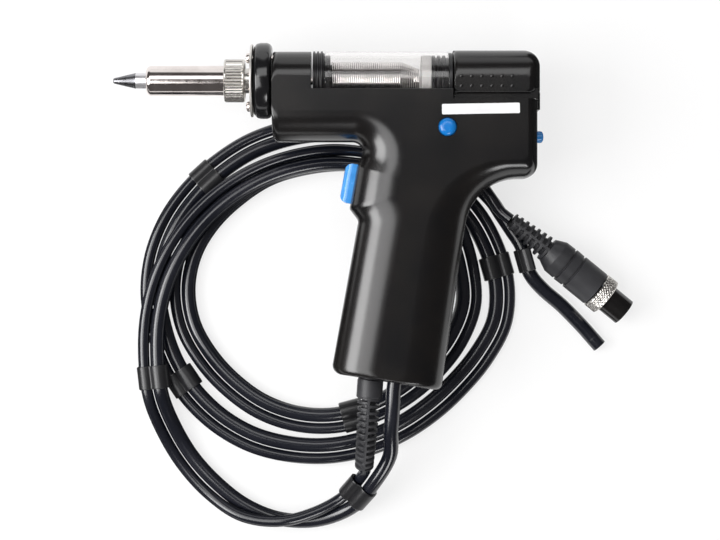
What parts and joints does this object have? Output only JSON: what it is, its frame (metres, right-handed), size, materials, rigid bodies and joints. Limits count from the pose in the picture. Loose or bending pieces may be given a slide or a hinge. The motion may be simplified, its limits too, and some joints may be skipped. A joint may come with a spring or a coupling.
{
  "type": "desoldering pump",
  "caption": "Pistol-shaped vacuum desoldering pump in black with a glass filter tube, blue trigger, coiled lead with round connector and vacuum hose",
  "frame": {"origin": "centre of the box round the gun itself, without its cords; the gun lies on its right side on its own cords", "axes": "+X from the nozzle to the rear cap along the barrel, +Y from the grip up to the barrel, +Z out of the left side, up from the table"},
  "size_m": [0.2267, 0.2113, 0.0485],
  "materials": {
    "black_case": "satin moulded",
    "black_gloss": "polished",
    "black_rubber": "matt moulded",
    "cord_skin": "smooth extruded",
    "blue_plastic": "glossy moulded",
    "steel": "polished",
    "dark_steel": "heat darkened",
    "bright_metal": "plated and knurled",
    "clear_glass": "clear",
    "white_fibre": "pressed fibre",
    "ceramic": "fired ceramic",
    "silicone": "soft tube",
    "circuit_board": "coated board"
  },
  "bodies": {
    "gun": {"ceramic_filter": "white_fibre", "connector_body": "black_rubber", "connector_insert": "black_case", "control_board": "circuit_board", "cord_clip_1": "black_rubber", "cord_clip_2": "black_rubber", "cord_clip_3": "black_rubber", "cord_clip_4": "black_rubber", "cord_clip_5": "black_rubber", "cord_clip_6": "black_rubber", "cord_clip_7": "black_rubber", "filter_tube": "clear_glass", "flange_plate": "bright_metal", "flange_screw_1": "steel", "flange_screw_2": "steel", "flange_screw_3": "steel", "front_ring": "black_gloss", "front_seal": "black_rubber", "heater_core": "ceramic", "heater_holder": "bright_metal", "heater_leads": "silicone", "hose_coupler": "bright_metal", "housing_left": "black_case", "housing_right": "black_case", "housing_screw_1": "steel", "housing_screw_2": "steel", "housing_screw_3": "steel", "housing_screw_4": "steel", "microswitch": "black_case", "nozzle": "dark_steel", "nozzle_sleeve": "steel", "power_cable": "cord_skin", "power_leads": "black_rubber", "preliminary_filter": "steel", "release_spring": "steel", "side_switch": "black_case", "strain_relief": "black_rubber", "suction_pipe": "steel", "trigger_spring": "steel", "vacuum_elbow": "black_rubber", "vacuum_hose": "cord_skin", "vacuum_tube": "silicone"},
    "nut": {"retaining_nut": "bright_metal"},
    "trigger_key": {"trigger": "blue_plastic"},
    "release_key": {"release_button": "blue_plastic"},
    "side_key": {"side_button": "blue_plastic"},
    "cap": {"rear_cap": "black_case", "rear_seal": "black_rubber"},
    "connector_ring": {"coupling_ring": "bright_metal"}
  },
  "joints": [
    {"name": "trigger_slide", "type": "slide", "parent": "gun", "child": "trigger_key", "axis": [0.984, -0.1784, 0], "range_m": [0, 0.003], "stiffness_N_per_m": 500},
    {"name": "release_slide", "type": "slide", "parent": "gun", "child": "release_key", "axis": [-1, 0, 0], "range_m": [0, 0.0022], "stiffness_N_per_m": 500},
    {"name": "side_button_slide", "type": "slide", "parent": "gun", "child": "side_key", "axis": [0, 0, -1], "range_m": [0, 0.0012], "stiffness_N_per_m": 500},
    {"name": "rear_cap_slide", "type": "slide", "parent": "gun", "child": "cap", "axis": [1, 0, 0], "range_m": [0, 0.009]},
    {"name": "nut_spin", "type": "hinge", "parent": "gun", "child": "nut", "pos_m": [-0.04025, 0.05818, -0.00085], "axis": [1, 0, 0], "continuous": true},
    {"name": "connector_ring_spin", "type": "hinge", "parent": "gun", "child": "connector_ring", "pos_m": [0.11776, -0.03174, -0.02247], "axis": [0.7756, -0.6281, -0.0626], "continuous": true}
  ]
}
